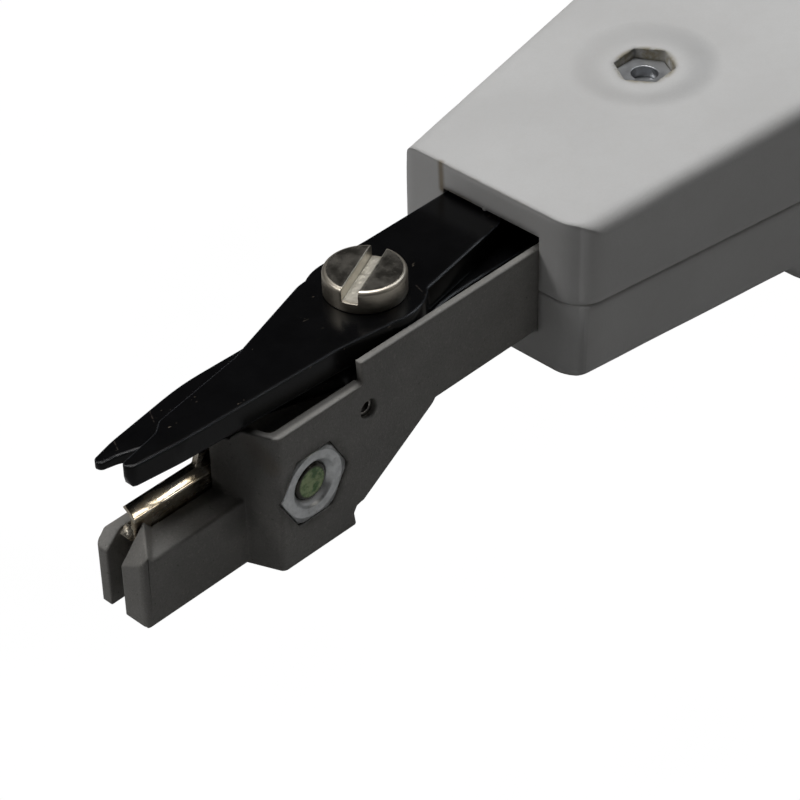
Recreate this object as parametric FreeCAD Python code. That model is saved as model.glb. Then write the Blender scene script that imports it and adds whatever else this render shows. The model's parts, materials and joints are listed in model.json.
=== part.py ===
import FreeCAD
import Part
import math
import os

# Insulation-displacement (punch down) tool with scissors, all sizes in millimetres.
#
# Every piece is drawn in the pivot's frame: the origin is on the scissor pivot's axis, level with
# the top face of the upper blade, +X points to the nose, +Y to the side that carries the hex nut
# and +Z up. export() then moves it to the tool's own frame, whose origin is on the flat panel
# that the handle rests on.

V = FreeCAD.Vector
X_AXIS = V(1, 0, 0)
Y_AXIS = V(0, 1, 0)
Z_AXIS = V(0, 0, 1)

# ---- where the pivot stands in the tool's own frame
pivot_x = 95.0
pivot_y = -0.5
pivot_height = 19.0

# ---- handle
tool_length = 178.0
nose_x = 23.9
handle_front = -12.45
handle_rear = nose_x - tool_length
handle_length = handle_front - handle_rear
handle_axis_y = 0.5
front_half_width = 8.6
side_flare = 0.146
max_half_width = 20.5
front_top = 2.5
top_slope = 0.078
crown_top = 5.9
front_bottom = -10.7
belly_bottom = -18.5
pad_bottom = -pivot_height
pad_length = 58.0
pad_middle = -90.0
pad_half_width = 12.0
belly_start = 21.3
belly_slope = 0.9
front_top_radius = 1.2
front_bottom_radius = 0.8
grip_radius = 4.0
rounding_reach = 40.0
far_lean = 0.8
seam_z = -4.45
wall = 2.0
seam_round = 0.25

# ---- mouth of the handle
mouth_far = -4.2
mouth_near = 5.06
mouth_bottom = -8.0
mouth_top = 0.3
mouth_depth = 2.5

# ---- motion
head_travel = 8.0
closing_angle = math.radians(2.8)
sensor_travel = 1.2
running_gap = 0.06

# ---- scissors
blade_thickness = 1.98
lower_blade_top = -2.0
blade_boss_radius = 4.35
lower_taper_start = 10.0
lower_taper = 0.1
shoulder_radius = 2.0
arm_end = (-34.0, -6.6)
arm_end_radius = 1.3

# ---- head
shank_far = -3.95
shank_near = 5.0
shank_bottom = -7.9
floor_z = -4.3
wall_inner = 4.42
wall_top = -0.75
block_top = -2.65
block_bottom = -14.33
web_far = -0.45
sill_far = 1.62
sill_rear = 14.0
nose_root = 13.3
nose_far = -2.5
nose_near = 2.45
slot_far = -1.3
slot_near = 0.08
slot_floor = -11.23
prong_side_top = -8.68
prong_slot_top = -8.3
strip_rear = 15.0
strip_front = 22.3
rail_half_gap = 2.6

# ---- cross screw, nut and pin of the head
cross_x = 10.36
cross_z = -8.4
m3_radius = 1.5
m3_nut_flats = 5.5
m3_nut_thickness = 2.4
pin_x = 4.95
pin_z = -5.05
pin_radius = 0.75

# ---- return spring and its rod
rod_z = -5.5
rod_radius = 2.0
rod_front = -37.5
rod_rear = -93.0
groove_rear = -88.2
groove_front = -87.3
groove_radius = 1.55
tail_front = -36.4
tail_rear = -46.0
seat_front = -82.0
seat_rear = -85.1
main_spring_radius = 4.0
main_spring_wire = 1.1
main_spring_turns = 11

# ---- shell screws (x, y from the handle's axis)
shell_screw_places = [(-30.7, -1.1), (-56.0, 9.0), (-56.0, -9.0), (-124.0, 7.0), (-124.0, -7.0)]
m2_radius = 1.0
m2_nut_flats = 4.0
m2_nut_thickness = 1.6
nut_sink = 0.7
screw_head_radius = 2.0
nut_boss_radius = 3.4
nut_boss_bottom = 0.25
screw_head_height = 1.2

# ---- fold-out tools
tool_pivot_x = -138.5
tool_pivot_y = 15.2
tool_tang_radius = 3.0
tool_front = -80.5
tool_thickness = 1.4
pocket_height = 1.6
pocket_inner = 11.4
pocket_front = -79.0
pocket_skin = 2.0
tool_pin_radius = 1.5
pin_boss_radius = 3.2


# ------------------------------------------------------------------ drawing helpers
def box(x0, x1, y0, y1, z0, z1):
    return Part.makeBox(x1 - x0, y1 - y0, z1 - z0, V(x0, y0, z0))


def rod(radius, start, end):
    start = V(*start)
    along = V(*end) - start
    return Part.makeCylinder(radius, along.Length, start, along)


def flat_wire(corners, place):
    """Closed outline through (a, b) or (a, b, radius) corners; place turns (a, b) into a point."""
    points = [place(c[0], c[1]) for c in corners]
    radii = [c[2] if len(c) > 2 else 0.0 for c in corners]
    starts = []
    ends = []
    arcs = []
    for i, corner in enumerate(points):
        if radii[i] <= 0:
            starts.append(corner)
            ends.append(corner)
            arcs.append(None)
            continue
        back = (points[i - 1] - corner).normalize()
        ahead = (points[(i + 1) % len(points)] - corner).normalize()
        half = back.getAngle(ahead) / 2
        reach = radii[i] / math.tan(half)
        middle = (back + ahead).normalize()
        first = corner + back * reach
        last = corner + ahead * reach
        nearest = corner + middle * (radii[i] / math.sin(half) - radii[i])
        starts.append(first)
        ends.append(last)
        arcs.append(Part.Arc(first, nearest, last).toShape())
    edges = []
    for i in range(len(points)):
        if arcs[i]:
            edges.append(arcs[i])
        following = starts[(i + 1) % len(points)]
        if (following - ends[i]).Length > 1e-6:
            edges.append(Part.makeLine(ends[i], following))
    return Part.Wire(edges)


def prism_x(corners, x0, x1):
    """Outline of (y, z) corners, extruded from x0 to x1."""
    wire = flat_wire(corners, lambda y, z: V(x0, y, z))
    return Part.Face(wire).extrude(V(x1 - x0, 0, 0))


def prism_y(corners, y0, y1):
    """Outline of (x, z) corners, extruded from y0 to y1."""
    wire = flat_wire(corners, lambda x, z: V(x, y0, z))
    return Part.Face(wire).extrude(V(0, y1 - y0, 0))


def prism_z(corners, z0, z1):
    """Outline of (x, y) corners, extruded from z0 to z1."""
    wire = flat_wire(corners, lambda x, y: V(x, y, z0))
    return Part.Face(wire).extrude(V(0, 0, z1 - z0))


def hexagon(flats, turn=0.0):
    """Corner offsets of a hexagon, the first one at the angle turn."""
    radius = flats / math.sqrt(3)
    angles = [turn + math.pi / 3 * i for i in range(6)]
    return [(radius * math.cos(a), radius * math.sin(a)) for a in angles]


def hex_prism_z(x, y, flats, z0, z1, turn=0.0):
    return prism_z([(x + a, y + b) for a, b in hexagon(flats, turn)], z0, z1)


def hex_prism_y(x, z, flats, y0, y1, turn=0.0):
    return prism_y([(x + a, z + b) for a, b in hexagon(flats, turn)], y0, y1)


def fuse(shapes):
    result = shapes[0]
    if len(shapes) > 1:
        result = result.multiFuse(shapes[1:])
    return result.removeSplitter()


def half_space(point, normal, reach=25.0):
    """A thick disc that stands for everything on the normal's side of a plane."""
    disc = Part.Face(Part.Wire(Part.makeCircle(reach, point, normal)))
    return disc.extrude(V(normal).normalize() * reach)


def mirror_y(shape, y=0.0):
    return shape.mirror(V(0, y, 0), Y_AXIS)


def turned(x, y, angle):
    """The point (x, y) turned about the pivot."""
    c = math.cos(angle)
    s = math.sin(angle)
    return x * c - y * s, x * s + y * c


def edges_near(shape, places, reach):
    """Edges whose middle lies within reach of one of the places."""
    found = []
    for edge in shape.Edges:
        middle = edge.valueAt((edge.FirstParameter + edge.LastParameter) / 2)
        if any((middle - V(*p)).Length < reach for p in places):
            found.append(edge)
    return found


def coil(radius, wire, x0, x1, turns, y, z):
    """Compression spring along X between x0 and x1; radius is that of the wire's centre line."""
    height = x1 - x0 - wire
    helix = Part.makeHelix(height / turns, height, radius)
    profile = Part.Wire(Part.makeCircle(wire / 2, V(radius, 0, 0), Y_AXIS))
    spring = Part.Wire(helix.Edges).makePipeShell([profile], True, True)
    spring.rotate(V(0, 0, 0), Y_AXIS, 90)
    spring.translate(V(x0 + wire / 2, y, z))
    return spring


# ------------------------------------------------------------------ handle
def soft_min(a, b, softness):
    return (a + b - math.sqrt((a - b) ** 2 + softness ** 2)) / 2


def closing(u, reach, power):
    """1 along the handle, falling to 0 at its rear end over the last reach millimetres."""
    t = (u - (handle_length - reach)) / reach
    return 1.0 if t <= 0 else (1 - t ** power) ** (1 / power)


def half_width(u):
    """Half of the handle's width, u millimetres behind its front face."""
    return soft_min(front_half_width + side_flare * u, max_half_width, 2.5) * closing(u, 26, 2.3)


def top_at(u):
    height = soft_min(front_top + top_slope * u, crown_top, 0.8) - seam_z
    return seam_z + height * closing(u, 13, 2.2)


def bottom_at(u):
    """The belly, cut flat a little above its lowest line by handle_half()."""
    ramp = front_bottom - belly_slope * max(0.0, u - belly_start)
    softness = 2.2 if u > belly_start + 3 else 0.01
    depth = seam_z + soft_min(-ramp, -belly_bottom + 0.15, softness)
    return seam_z - depth * closing(u, 17, 2.2)


def handle_section(u, inset):
    """Rounded rectangle across the handle, inset from the outside; its far side leans out to the seam."""
    side = half_width(u) - inset
    top = top_at(u) - inset
    bottom = bottom_at(u) + inset
    growth = min(1.0, max(0.0, (u - belly_start - 2) / rounding_reach))
    top_radius = front_top_radius + (grip_radius - front_top_radius) * growth - inset * 0.8
    bottom_radius = front_bottom_radius + (grip_radius - front_bottom_radius) * growth - inset * 0.8
    limit = 0.48 * min(side, top - bottom)
    top_radius = min(max(top_radius, 0.4), limit)
    bottom_radius = min(max(bottom_radius, 0.4), limit)
    x = handle_front - u
    far = handle_axis_y - side
    corners = [
        (far, bottom, bottom_radius),
        (handle_axis_y + side, bottom, bottom_radius),
        (handle_axis_y + side, top, top_radius),
        (far, top, top_radius),
        (far - far_lean * (1.0 - growth), seam_z),
    ]
    return flat_wire(corners, lambda y, z: V(x, y, z))


def handle_solid(stations, inset=0.0, straight=False):
    return Part.makeLoft([handle_section(u, inset) for u in stations], True, straight)


def front_corner_trim():
    """What rounds the two upright corners of the front face off."""
    near_radius = 2.6
    far_radius = 2.0
    side = front_half_width
    reach = belly_start
    grown = half_width(reach)
    corners = [
        (handle_front - reach, handle_axis_y - grown - 9),
        (handle_front, handle_axis_y - side - 9),
        (handle_front + 9, handle_axis_y - side - 9),
        (handle_front + 9, handle_axis_y + side + 9),
        (handle_front, handle_axis_y + side + 9),
        (handle_front - reach, handle_axis_y + grown + 9),
    ]
    outside = prism_z(corners, -30, 20)
    kept = [
        (handle_front - reach - 1, handle_axis_y - grown - far_lean - side_flare),
        (handle_front, handle_axis_y - half_width(0) - far_lean, far_radius),
        (handle_front, handle_axis_y + half_width(0), near_radius),
        (handle_front - reach - 1, handle_axis_y + grown + side_flare),
    ]
    return outside.cut(prism_z(kept, -31, 21))


def handle_outside():
    front = handle_solid([0, belly_start], straight=True)
    front = front.cut(front_corner_trim())
    ahead = [belly_start, 24, 27, 29.5, 32, 36, 44, 54, 64, 74, 84, 96, 108, 114]
    behind = [26, 22, 18, 15, 12, 9.5, 7.3, 5.4, 3.8, 2.5, 1.5, 0.8, 0.35]
    behind = [handle_length - b for b in behind if handle_length - b > 115]
    rear = handle_solid(ahead + behind)
    return front.fuse(rear)


def handle_cavity():
    front = handle_solid([mouth_depth, belly_start], wall, True)
    stations = [belly_start, 26, 31, 36, 50, 64, 80, 96, 112, 122, handle_length - 10]
    return front.fuse(handle_solid(stations, wall, True))


def pocket_plan(inset):
    """Plan of a fold-out tool's pocket on the near side, open at the side and the rear corner."""
    inner = handle_axis_y + pocket_inner - inset
    outer = handle_axis_y + max_half_width + 10
    front = pocket_front + inset
    return [(front, inner, 1.0), (front, outer), (handle_rear - 10, outer), (handle_rear - 10, inner)]


def pocket(z0, z1, inset=0.0):
    near = prism_z(pocket_plan(inset), z0, z1)
    return near.fuse(mirror_y(near, handle_axis_y))


def both_sides(x, y, radius, z0, z1):
    near = rod(radius, (x, handle_axis_y + y, z0), (x, handle_axis_y + y, z1))
    far = rod(radius, (x, handle_axis_y - y, z0), (x, handle_axis_y - y, z1))
    return [near, far]


def finger_scoops():
    """Scoops that bare the edge of each folded tool for a fingernail."""
    low = seam_z - pocket_height - pocket_skin + 0.5
    high = seam_z + pocket_skin - 0.5
    return both_sides(-95.0, max_half_width + 9.6, 13.0, low, high)


def screw_boss_radius(x):
    return 2.0 if x > -40 else 3.2


def closing_ramp():
    """Inner face of the rib that squeezes the upper blade's arm: the path of the arm's round end."""
    path = []
    steps = 8
    for i in range(-1, steps + 2):
        share = i / steps
        x, y = turned(arm_end[0], arm_end[1], -closing_angle * share)
        path.append((x - head_travel * share, y - arm_end_radius - running_gap))
    outer = [(path[-1][0], -13.0), (path[0][0], -13.0)]
    return prism_z(path + outer, -4.2, 6.0)


def seat_ribs(side):
    """Cross ribs before and behind the spring seat, above (1) or below (-1) the rod."""
    ribs = []
    for x0, x1, clear in [(-87.2, -85.2, 2.3), (-81.8, -80.4, 5.2)]:
        low, high = sorted([rod_z + side * clear, rod_z + side * 15])
        ribs.append(box(x0, x1, handle_axis_y - 9, handle_axis_y + 9, low, high))
    return ribs


def mouth(z0, z1):
    return box(handle_front - mouth_depth - 1, handle_front + 1, mouth_far, mouth_near, z0, z1)


def screw_stations():
    """Each shell screw's x, y, the height of the handle's top there and of the head's shoulder."""
    stations = []
    for x, y in shell_screw_places:
        seat = front_bottom + 1.25 if x > -40 else pad_bottom + 6.0
        stations.append((x, handle_axis_y + y, top_at(handle_front - x), seat))
    return stations


def handle_half(outside, z0, z1):
    """Half of the handle between two heights, its outer edge rounded where it meets the seam."""
    half = outside.common(box(handle_rear - 1, handle_front + 1, -40, 40, z0, z1))
    seam = [e for e in half.Edges if e.BoundBox.ZLength < 1e-4 and abs(e.BoundBox.ZMin - seam_z) < 1e-4]
    return half.makeFillet(seam_round, seam)


def upper_shell(outside, cavity):
    ceiling = pocket(seam_z, seam_z + pocket_skin, pocket_skin)
    inside = handle_half(outside, seam_z, 30)
    shell = inside.cut(cavity.cut(ceiling))
    ribs = [closing_ramp(), mirror_y(closing_ramp())]
    ribs += [rib.common(cavity) for rib in seat_ribs(1)]
    for x, y, top, seat in screw_stations():
        ribs.append(rod(screw_boss_radius(x), (x, y, seam_z), (x, y, 8)))
        ribs.append(rod(nut_boss_radius, (x, y, nut_boss_bottom), (x, y, 8)))
    ribs += both_sides(tool_pivot_x, tool_pivot_y, pin_boss_radius, seam_z, 5)
    shell = shell.fuse([rib.common(inside) for rib in ribs])
    cuts = finger_scoops()
    cuts.append(mouth(seam_z - 1, mouth_top))
    cuts += both_sides(tool_pivot_x, tool_pivot_y, tool_pin_radius + 0.01, seam_z - 1, 0.5)
    for x, y, top, seat in screw_stations():
        pocket_floor = top - nut_sink - m2_nut_thickness
        cuts.append(rod(m2_radius + 0.1, (x, y, seam_z - 1), (x, y, top)))
        cuts.append(hex_prism_z(x, y, m2_nut_flats + 0.1, pocket_floor, top + 2))
    return shell.cut(cuts)


def rest_pad():
    """Raised flat panel on the belly that the tool lies on."""
    x0 = pad_middle - pad_length / 2
    x1 = pad_middle + pad_length / 2
    y0 = handle_axis_y - pad_half_width
    y1 = handle_axis_y + pad_half_width
    corners = [(x0, y0, 3), (x1, y0, 3), (x1, y1, 3), (x0, y1, 3)]
    return prism_z(corners, pad_bottom, belly_bottom + 0.5)


def lower_shell(outside, cavity):
    shelf = pocket(seam_z - pocket_height - pocket_skin, seam_z, pocket_skin)
    inside = handle_half(outside, belly_bottom, seam_z)
    shell = inside.cut(cavity.cut(shelf))
    ribs = [rib.common(cavity) for rib in seat_ribs(-1)]
    for x, y, top, seat in screw_stations():
        ribs.append(rod(screw_boss_radius(x), (x, y, belly_bottom), (x, y, seam_z)))
    ribs += both_sides(tool_pivot_x, tool_pivot_y, pin_boss_radius, belly_bottom, seam_z - pocket_height)
    shell = shell.fuse([rib.common(inside) for rib in ribs] + [rest_pad()])
    cuts = finger_scoops()
    cuts += both_sides(tool_pivot_x, tool_pivot_y, tool_pin_radius + 0.01, -12, seam_z)
    cuts.append(pocket(seam_z - pocket_height, seam_z + 1))
    cuts.append(mouth(mouth_bottom, seam_z + 1))
    for x, y, top, seat in screw_stations():
        cuts.append(rod(m2_radius + 0.1, (x, y, -20), (x, y, seam_z + 1)))
        cuts.append(rod(screw_head_radius + 0.15, (x, y, -20), (x, y, seat)))
    return shell.cut(cuts)


def shell_screws():
    screws = []
    for x, y, top, shoulder in screw_stations():
        seat = shoulder - 0.02
        face = seat - screw_head_height
        head = rod(screw_head_radius, (x, y, face), (x, y, seat))
        rim = [e for e in head.Edges if abs(e.BoundBox.ZMax - face) < 1e-6]
        shank = rod(m2_radius - 0.02, (x, y, seat - 0.5), (x, y, top - nut_sink - 0.9))
        slot = box(x - 3, x + 3, y - 0.35, y + 0.35, face - 1, face + 0.8)
        screws.append(head.makeFillet(0.5, rim).fuse(shank).cut(slot).removeSplitter())
    return Part.makeCompound(screws)


def shell_nuts():
    nuts = []
    for x, y, surface, seat in screw_stations():
        top = surface - nut_sink
        nut = hex_prism_z(x, y, m2_nut_flats - 0.02, top - m2_nut_thickness + 0.02, top)
        nuts.append(nut.cut(rod(m2_radius + 0.02, (x, y, top - 5), (x, y, top + 5))))
    return Part.makeCompound(nuts)


def along_rod(radius, x0, x1):
    """Round bar on the return spring's axis."""
    return rod(radius, (x0, handle_axis_y, rod_z), (x1, handle_axis_y, rod_z))


def spring_seat():
    plate = box(seat_rear, seat_front, handle_axis_y - 6.5, handle_axis_y + 6.5, -16.4, 1.6)
    collar = along_rod(2.9, seat_front, seat_front + 2.0)
    hole = along_rod(rod_radius + running_gap, seat_rear - 1, seat_front + 3)
    return plate.fuse(collar).cut(hole).removeSplitter()


# ------------------------------------------------------------------ fold-out tools
def tool_blank(corners):
    """Flat steel tool on the near side, with its round tang on the pivot pin."""
    z1 = seam_z - (pocket_height - tool_thickness) / 2
    z0 = z1 - tool_thickness
    centre_y = handle_axis_y + tool_pivot_y
    x = tool_pivot_x
    blank = prism_z([(along, centre_y + y, *r) for along, y, *r in corners], z0, z1)
    tang = rod(tool_tang_radius, (x, centre_y, z0), (x, centre_y, z1))
    bore = rod(tool_pin_radius + running_gap, (x, centre_y, z0 - 1), (x, centre_y, z1 + 1))
    return blank.fuse(tang).cut(bore).removeSplitter()


def wire_hook():
    corners = [
        (tool_pivot_x, -2.6),
        (-100.0, -1.6, 8),
        (-86.0, -0.6, 6),
        (tool_front, 0.2, 0.5),
        (tool_front + 0.1, 2.0, 0.9),
        (-83.4, 2.2, 0.5),
        (-82.6, 0.9, 0.35),
        (-84.6, 1.1, 0.5),
        (-87.0, 1.9, 3),
        (tool_pivot_x, 2.7),
    ]
    return tool_blank(corners)


def release_blade():
    corners = [
        (tool_pivot_x, -2.6),
        (-90.0, -2.4, 4),
        (-83.5, -1.4, 1.5),
        (tool_front, 1.2, 0.4),
        (tool_front, 2.5, 0.3),
        (tool_pivot_x, 2.7),
    ]
    return mirror_y(tool_blank(corners), handle_axis_y)


def tool_pins():
    return Part.makeCompound(both_sides(tool_pivot_x, tool_pivot_y, tool_pin_radius, -11.5, 0.0))


def tool_springs():
    """Leaf springs along the inner wall of each pocket, bearing on the tangs."""
    z1 = seam_z - 0.15
    inner = handle_axis_y + pocket_inner + 0.05
    leaf = prism_z(
        [
            (-118.0, inner),
            (-117.8, inner + 0.4),
            (-128.0, inner + 0.5, 20),
            (-138.5, inner + 0.68, 20),
            (-142.0, inner + 0.45),
            (-142.0, inner),
            (-138.5, inner + 0.2, 20),
            (-128.0, inner, 20),
        ],
        z1 - 1.3,
        z1,
    )
    return Part.makeCompound([leaf, mirror_y(leaf, handle_axis_y)])


# ------------------------------------------------------------------ scissors
def blade_from(front, arm, z1, taper_start, taper):
    """A blade: its front outline, the boss on the pivot and the arm; its underside rises to the tip."""
    z0 = z1 - blade_thickness
    boss = rod(blade_boss_radius, (0, 0, z0), (0, 0, z1))
    shape = prism_z(front, z0, z1).multiFuse([boss, prism_z(arm, z0, z1)]).removeSplitter()
    bore = rod(shoulder_radius + running_gap, (0, 0, z0 - 1), (0, 0, z1 + 1))
    underside = half_space(V(taper_start, 0, z0), V(taper, 0, -1))
    return shape.cut(bore).cut(underside.common(box(taper_start, 30, -20, 20, -20, 20)))


def arm_outline(outer):
    """A blade's arm on the far side: into the mouth, round the front screw boss, to the ramp."""
    end_x, end_y = arm_end
    return [
        (-1.0, -4.22),
        (-1.0, 3.6),
        (-3.3, 3.1, 2.5),
        (-12.5, 1.5, 3),
        (-18.5, -3.8, 2),
        (-22.0, -4.35, 6),
        (end_x - arm_end_radius, end_y + 1.45, 1.2),
        (end_x - arm_end_radius, end_y - arm_end_radius - 0.1, arm_end_radius),
        (-19.5, -6.7, 4),
        (-15.7, outer, 3),
        (-4.3, outer, 12),
    ]


def upper_blade():
    front = [
        (0.0, 4.0),
        (1.6, 4.12, 3),
        (6.1, 3.48, 12),
        (13.3, 3.19, 60),
        (20.2, 2.9, 20),
        (24.0, 2.5, 0.7),
        (24.5, 1.75, 0.33),
        (20.6, 0.95, 1.0),
        (19.6, 0.2, 0.5),
        (11.4, -1.08, 3),
        (10.2, -1.5, 3),
        (2.9, -3.75, 3),
        (0.0, -4.0),
    ]
    blade = blade_from(front, arm_outline(-4.1), 0.0, 8.0, 0.018)
    return blade.cut(half_space(V(24.47, 0, -0.25), V(1, 0, -0.3)))


def lower_blade():
    front = [
        (0.0, -4.0),
        (1.6, -4.12, 3),
        (5.0, -3.45, 8),
        (8.9, -3.4, 20),
        (14.4, -3.58, 20),
        (21.7, -2.46, 10),
        (23.65, -1.95, 0.45),
        (23.85, -1.25, 0.4),
        (22.4, -1.05, 1.0),
        (20.8, -0.5, 1.5),
        (19.0, 0.2, 3),
        (10.2, 1.5, 3),
        (2.9, 3.75, 3),
        (0.0, 4.0),
    ]
    arm = [(c[0], -c[1], *c[2:]) for c in arm_outline(-3.1)]
    return blade_from(front, arm, lower_blade_top, lower_taper_start, lower_taper)


def pivot_screw():
    head = rod(3.0, (0, 0, 0.02), (0, 0, 1.8))
    shoulder = rod(shoulder_radius, (0, 0, floor_z + 0.02), (0, 0, 0.02))
    shank = rod(m3_radius - 0.02, (0, 0, shank_bottom + 0.1), (0, 0, floor_z + 0.02))
    slot = box(-4, 4, -0.6, 0.6, 0.8, 3)
    slot.rotate(V(0, 0, 0), Z_AXIS, 23)
    top_rim = [e for e in head.Edges if e.BoundBox.ZMin > 1.7]
    return head.makeFillet(0.35, top_rim).fuse(shoulder).fuse(shank).cut(slot).removeSplitter()


def pivot_nut():
    nut = hex_prism_z(0, 0, m3_nut_flats - 0.04, shank_bottom + 0.15, shank_bottom + 0.1 + m3_nut_thickness)
    return nut.cut(rod(m3_radius, (0, 0, -12), (0, 0, 0)))


def thrust_washer():
    disc = rod(3.75, (0, 0, floor_z + 0.02), (0, 0, lower_blade_top - blade_thickness - 0.03))
    return disc.cut(rod(shoulder_radius + 0.04, (0, 0, -8), (0, 0, 0)))


def scissor_spring():
    """Hairpin leaf spring round the post on the tail; its legs push the arms apart."""
    post_x = -17.6
    near_leg = [(post_x - 1.0, 1.15), (-20.3, 3.35), (-22.6, 3.95), (arm_end[0] + 2.5, 4.65)]
    thickness = 0.32
    legs = []
    for side in (1, -1):
        outer = [(x, side * y) for x, y in near_leg]
        inner = [(x, side * (y - thickness)) for x, y in reversed(near_leg)]
        legs.append(prism_z(outer + inner, -3.7, -0.3))
    bend = rod(1.15, (post_x, 0, -3.7), (post_x, 0, -0.3))
    bend = bend.cut(rod(1.15 - thickness, (post_x, 0, -4), (post_x, 0, 0)))
    bend = bend.cut(box(post_x - 3, post_x - 0.02, -3, 3, -5, 1))
    bridges = [box(post_x - 1.0, post_x, 1.15 - thickness, 1.15, -3.7, -0.3)]
    bridges.append(mirror_y(bridges[0]))
    return fuse([bend] + bridges + legs)


# ------------------------------------------------------------------ head
def block_front(y):
    """The block's front face slants: x where it crosses y."""
    return 13.6 + 0.372 * (shank_near - y)


def head_body():
    # side outline of the block: it drops from the shank down to the nose's level
    drop = [
        (-1.93, floor_z),
        (-1.93, shank_bottom, 1.5),
        (5.73, -12.7),
        (6.44, -12.73, 0.2),
        (6.76, -13.26, 0.2),
        (6.6, block_bottom, 0.15),
        (18.0, block_bottom),
        (18.0, floor_z),
    ]
    block = prism_y(drop, nose_far, shank_near)
    lip_top = [
        (5.6, wall_top + 0.02),
        (5.42, block_top, 0.3),
        (18.0, block_top),
        (18.0, floor_z),
        (-15.2, floor_z),
        (-15.2, wall_top),
        (5.5, wall_top, 0.3),
    ]
    guard = prism_y(lip_top, wall_inner, shank_near)
    slab = box(tail_front, 6.05, shank_far, shank_near, shank_bottom, floor_z)
    rim = box(5.4, 18, 2.5, shank_near, floor_z, block_top)
    sill_side = [(sill_far, floor_z), (2.6, floor_z), (2.6, block_top), (2.5, block_top), (sill_far, -3.5)]
    sill = prism_x(sill_side, 5.4, 18)
    plan = [
        (block_front(web_far) - 6, -20),
        (block_front(-20), -20),
        (block_front(shank_near), shank_near, 0.55),
        (block_front(shank_near) - 2, shank_near),
        (-60, shank_near),
        (-60, -20),
    ]
    outline = prism_z(plan, -30, 10)
    body = block.multiFuse([guard, rim, sill]).common(outline)
    hollow = prism_z(
        [
            (5.0, 0),
            (5.0, shank_near - 0.9),
            (block_front(4.1) - 0.55, shank_near - 0.9, 0.5),
            (block_front(sill_far) - 0.75, sill_far),
            (20, sill_far),
            (20, -20),
            (5.0, -20),
        ],
        floor_z,
        5,
    )
    under_blade = lower_blade_top - blade_thickness + lower_taper * (sill_rear - lower_taper_start)
    low_sill = box(sill_rear, 18, web_far, sill_far + 0.1, floor_z - 0.1, under_blade - 0.08)
    body = body.cut(hollow).multiFuse([slab, low_sill.common(outline)])

    # recess on the far side for the sensor strip's plate, and the pocket of its spring
    body = body.cut(box(6.05, 30, -20, web_far, slot_floor, 5))
    body = body.cut(box(pin_x + 0.5, 9.2, -2.0, 0.5, -6.5, floor_z + 1))

    nose = nose_prongs()
    body = body.fuse(nose)
    body = body.cut(box(nose_root - 0.5, 30, slot_far, web_far, slot_floor, 5))
    body = body.cut(box(strip_rear - sensor_travel - 0.2, 30, slot_far, slot_near, slot_floor, 5))
    body = body.cut(box(16.9, 30, slot_far, slot_near, block_bottom - 1, 5))

    # tail: rails either side of the front screw's boss, and the block that holds the rod
    tail = box(tail_rear, tail_front + 0.2, handle_axis_y - 4, handle_axis_y + 4, -8.6, -2.2)
    post = rod(0.75, (-17.6, 0, floor_z - 1), (-17.6, 0, -0.5))
    body = body.multiFuse([tail, post])
    boss_slot = [
        (-34.4, -rail_half_gap, 2.4),
        (-20.2, -rail_half_gap, 2.4),
        (-20.2, rail_half_gap, 2.4),
        (-34.4, rail_half_gap, 2.4),
    ]
    body = body.cut(prism_z(boss_slot, -12, 0))

    bores = [
        rod(rod_radius + 0.01, (rod_front, handle_axis_y, rod_z), (tail_rear - 1, handle_axis_y, rod_z)),
        rod(m3_radius + 0.03, (0, 0, -12), (0, 0, 0)),
        hex_prism_z(0, 0, m3_nut_flats + 0.04, shank_bottom - 2, shank_bottom + 0.12 + m3_nut_thickness),
        rod(m3_radius + 0.03, (cross_x, -6, cross_z), (cross_x, 6, cross_z)),
        hex_prism_y(cross_x, cross_z, m3_nut_flats + 0.1, shank_near - m3_nut_thickness - 0.1, 7),
        rod(pin_radius + 0.02, (pin_x, -6, pin_z), (pin_x, 6, pin_z)),
    ]
    return body.cut(bores).removeSplitter()


def nose_prongs():
    """The two prongs either side of the contact slot, with their sloping lead-in."""
    near_section = [
        (-0.7, block_bottom),
        (nose_near, block_bottom, 0.3),
        (nose_near, prong_side_top, 0.25),
        (slot_near, prong_slot_top),
        (-0.7, prong_slot_top),
    ]
    far_section = [
        (-0.6, block_bottom),
        (-0.6, -8.0),
        (slot_far, -8.2),
        (nose_far, -8.5, 0.3),
        (nose_far, block_bottom, 0.3),
    ]
    slot_corner = V(nose_x, slot_near, -9.93)
    side_corner = V(nose_x, nose_near, -8.65)
    crest = V(21.66, slot_near, -7.47)
    foot = V(20.95, slot_near, prong_slot_top)
    near_lead = half_space(slot_corner, (side_corner - slot_corner).cross(crest - slot_corner))
    back_slope = half_space(foot, (crest - foot).cross(V(23.1, nose_near, prong_side_top) - foot))
    bump = box(20.5, nose_x, slot_near - 0.01, nose_near - 0.01, -10.0, -7.0).cut([near_lead, back_slope])
    near = prism_x(near_section, nose_root, nose_x).cut(near_lead).fuse(bump)
    far_lead = half_space(V(nose_x, slot_far, -9.5), V(2.1, 0, 2.3))
    far = prism_x(far_section, nose_root, nose_x).cut(far_lead)
    plan = [(10, nose_far), (nose_x, nose_far, 0.5), (nose_x, nose_near, 0.6), (10, nose_near)]
    return near.fuse(far).common(prism_z(plan, -20, 0)).removeSplitter()


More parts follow.
